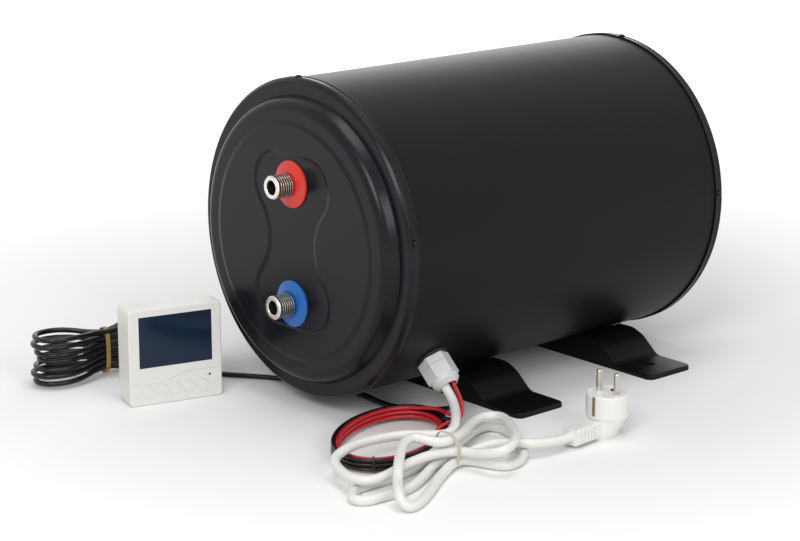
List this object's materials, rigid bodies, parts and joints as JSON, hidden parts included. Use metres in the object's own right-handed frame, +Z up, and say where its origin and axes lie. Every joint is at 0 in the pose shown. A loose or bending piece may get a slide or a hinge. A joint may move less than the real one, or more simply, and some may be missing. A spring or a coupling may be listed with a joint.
{
  "type": "electric water heater",
  "caption": "Round electric water heater for a caravan, lying on moulded feet, with a corded control panel, coiled low-voltage wires and a mains lead with an angled plug.",
  "frame": {"origin": "centre of the four foot holes, on the floor under the feet", "axes": "+Z up; -Y forwards, along the heater's axis, the way the water stubs point; +X to the heater's left, where the cable gland is"},
  "size_m": [0.4864, 0.5608, 0.2982],
  "materials": {
    "shell_paint": "satin",
    "cover_paint": "satin",
    "plated_screws": "black oxide",
    "stainless_steel": "satin",
    "foam": "moulded foam",
    "stub_steel": "machined",
    "red_plastic": "moulded",
    "blue_plastic": "moulded",
    "element_brass": "machined",
    "gasket_rubber": "matte",
    "thermostat_plastic": "moulded",
    "tray_plastic": "moulded",
    "circuit_board": "lacquered",
    "gland_plastic": "moulded",
    "foot_plastic": "moulded",
    "panel_plastic": "moulded",
    "window_glass": "polished",
    "display": "smooth",
    "button_plastic": "moulded",
    "white_cord": "extruded",
    "pin_nickel": "plated",
    "red_wire": "extruded",
    "black_wire": "extruded",
    "copper": "twisted strands",
    "control_cord": "extruded",
    "tie_plastic": "moulded",
    "tie_wire": "coated wire",
    "rubber_band": "matte"
  },
  "bodies": {
    "heater": {"outer_shell": "shell_paint", "front_cover": "cover_paint", "rear_cover": "cover_paint", "cover_screws": "plated_screws", "foot_screws": "plated_screws", "tank_body": "stainless_steel", "tank_head_front": "stainless_steel", "tank_head_rear": "stainless_steel", "hot_pickup_pipe": "stainless_steel", "cold_inlet_pipe": "stainless_steel", "temperature_sensor": "stainless_steel", "insulation_sleeve": "foam", "insulation_front": "foam", "insulation_rear": "foam", "hot_outlet_stub": "stub_steel", "cold_inlet_stub": "stub_steel", "hot_collar": "red_plastic", "cold_collar": "blue_plastic", "element_230v": "element_brass", "element_12v": "element_brass", "element_gaskets": "gasket_rubber", "gland_gasket": "gasket_rubber", "gland_seal": "gasket_rubber", "safety_thermostat": "thermostat_plastic", "board_components": "thermostat_plastic", "panel_switches": "thermostat_plastic", "board_tray": "tray_plastic", "control_board": "circuit_board", "panel_board": "circuit_board", "gland_body": "gland_plastic", "gland_nut": "gland_plastic", "gland_locknut": "gland_plastic", "foot_front": "foot_plastic", "foot_rear": "foot_plastic", "panel_housing": "panel_plastic", "panel_back": "panel_plastic", "panel_window": "window_glass", "panel_display": "display", "mains_lead": "white_cord", "mains_hank": "white_cord", "mains_tail": "white_cord", "plug_body": "white_cord", "plug_pins": "pin_nickel", "plug_earth_clips": "pin_nickel", "red_lead": "red_wire", "red_coil": "red_wire", "black_lead": "black_wire", "black_coil": "black_wire", "wire_ends": "copper", "control_lead": "control_cord", "control_hank": "control_cord", "control_tail": "control_cord", "coil_tie": "tie_plastic", "mains_tie": "tie_wire", "hank_band": "rubber_band"},
    "button_1": {"button_1": "button_plastic"},
    "button_2": {"button_2": "button_plastic"},
    "button_3": {"button_3": "button_plastic"},
    "button_4": {"button_4": "button_plastic"},
    "button_5": {"button_5": "button_plastic"}
  },
  "joints": [
    {"name": "press_1", "type": "slide", "parent": "heater", "child": "button_1", "axis": [-0.9677, 0.2521, 0], "range_m": [0, 0.0008], "stiffness_N_per_m": 400, "springref_m": -0.0005},
    {"name": "press_2", "type": "slide", "parent": "heater", "child": "button_2", "axis": [-0.9677, 0.2521, 0], "range_m": [0, 0.0008], "stiffness_N_per_m": 400, "springref_m": -0.0005},
    {"name": "press_3", "type": "slide", "parent": "heater", "child": "button_3", "axis": [-0.9677, 0.2521, 0], "range_m": [0, 0.0008], "stiffness_N_per_m": 400, "springref_m": -0.0005},
    {"name": "press_4", "type": "slide", "parent": "heater", "child": "button_4", "axis": [-0.9677, 0.2521, 0], "range_m": [0, 0.0008], "stiffness_N_per_m": 400, "springref_m": -0.0005},
    {"name": "press_5", "type": "slide", "parent": "heater", "child": "button_5", "axis": [-0.9677, 0.2521, 0], "range_m": [0, 0.0008], "stiffness_N_per_m": 400, "springref_m": -0.0005}
  ]
}
